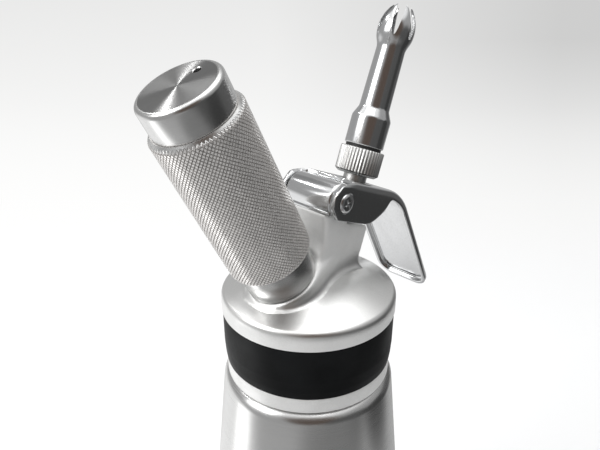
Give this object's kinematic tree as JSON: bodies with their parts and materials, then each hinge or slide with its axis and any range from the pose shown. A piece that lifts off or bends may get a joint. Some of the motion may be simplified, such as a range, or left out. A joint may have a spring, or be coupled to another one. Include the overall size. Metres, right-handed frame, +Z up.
{
  "type": "whipped cream dispenser",
  "caption": "Tapered steel bottle with a screwed head that carries a leaning knurled gas charger holder, a sprung lever valve and a tulip nozzle.",
  "frame": {"origin": "centre of the bottle's flat base", "axes": "+Z up along the bottle's axis, +X towards the lever and the nozzle"},
  "size_m": [0.121, 0.081, 0.2934],
  "materials": {
    "brushed_steel": "vertical satin brushing",
    "thread_steel": "turned",
    "cast_aluminium": "bead blasted, satin",
    "black_silicone": "matt",
    "white_silicone": "smooth, matt",
    "brass": "turned",
    "hard_steel": "ground",
    "seal_rubber": "matt",
    "red_silicone": "matt",
    "zinc_steel": "plated, bright",
    "turned_steel": "turned, with a spun end face",
    "knurled_steel": "diamond knurled",
    "polished_steel": "polished",
    "pin_steel": "ground",
    "screw_steel": "polished",
    "white_nylon": "smooth",
    "chromed_lever": "chromed, mirror bright",
    "spring_steel": "drawn wire",
    "chromed_brass": "chromed",
    "fluted_steel": "fluted, satin",
    "chromed_nozzle": "chromed, mirror bright"
  },
  "bodies": {
    "bottle": {"bottle": "brushed_steel", "neck_ring": "thread_steel"},
    "gasket": {"head_gasket": "white_silicone"},
    "head": {"head_casting": "cast_aluminium", "grip_band": "black_silicone", "charger_stud": "brass", "piercing_pin": "hard_steel", "pin_seal": "seal_rubber", "check_valve": "red_silicone", "pivot_barrel": "polished_steel", "guide_bush": "white_nylon", "stem_o_rings": "seal_rubber", "valve_spring": "spring_steel"},
    "charger": {"gas_charger": "zinc_steel"},
    "holder": {"holder_tube": "turned_steel", "knurled_sleeve": "knurled_steel"},
    "lever": {"lever": "chromed_lever", "pivot_pin": "pin_steel", "pivot_screws": "screw_steel", "pivot_washers": "white_nylon"},
    "stem": {"valve_stem": "pin_steel", "push_collar": "chromed_brass", "valve_seal": "seal_rubber", "valve_nut": "pin_steel", "adapter_ring": "fluted_steel"},
    "nozzle_seat": {"nozzle_washer": "seal_rubber"},
    "nozzle": {"nozzle_tip": "chromed_nozzle"}
  },
  "joints": [
    {"name": "head_lift", "type": "slide", "parent": "bottle", "child": "gasket", "axis": [0, 0, 1], "range_m": [0, 0.0101]},
    {"name": "head_turn", "type": "hinge", "parent": "gasket", "child": "head", "pos_m": [0, 0, 0.1949], "axis": [0, 0, 1], "range_deg": [0, 900]},
    {"name": "charger_lift", "type": "slide", "parent": "head", "child": "charger", "axis": [-0.4587, 0, 0.8886], "range_m": [0, 0.0076]},
    {"name": "holder_turn", "type": "hinge", "parent": "charger", "child": "holder", "pos_m": [-0.0133, 0, 0.2109], "axis": [-0.4587, 0, 0.8886], "range_deg": [0, 1800]},
    {"name": "lever_pivot", "type": "hinge", "parent": "head", "child": "lever", "pos_m": [0.00484, 0, 0.2344], "axis": [0, 1, 0], "range_deg": [0, 8], "stiffness_Nm_per_rad": 0.65, "springref_deg": -9.17},
    {"name": "stem_slide", "type": "slide", "parent": "head", "child": "stem", "axis": [-0.3681, 0, -0.9298], "range_m": [0, 0.003], "deforming": ["valve_spring"]},
    {"name": "nozzle_lift", "type": "slide", "parent": "stem", "child": "nozzle_seat", "axis": [0.3681, 0, 0.9298], "range_m": [0, 0.0051]},
    {"name": "nozzle_turn", "type": "hinge", "parent": "nozzle_seat", "child": "nozzle", "pos_m": [0.02055, 0, 0.22818], "axis": [0.3681, 0, 0.9298], "range_deg": [0, 1800]}
  ],
  "couplings": [
    {"joint": "head_lift", "follows": "head_turn", "m_per_rad": 0.00063662},
    {"joint": "charger_lift", "follows": "holder_turn", "m_per_rad": 0.00023873},
    {"joint": "stem_slide", "follows": "lever_pivot", "m_per_rad": 0.0208},
    {"joint": "nozzle_lift", "follows": "nozzle_turn", "m_per_rad": 0.00015915}
  ]
}
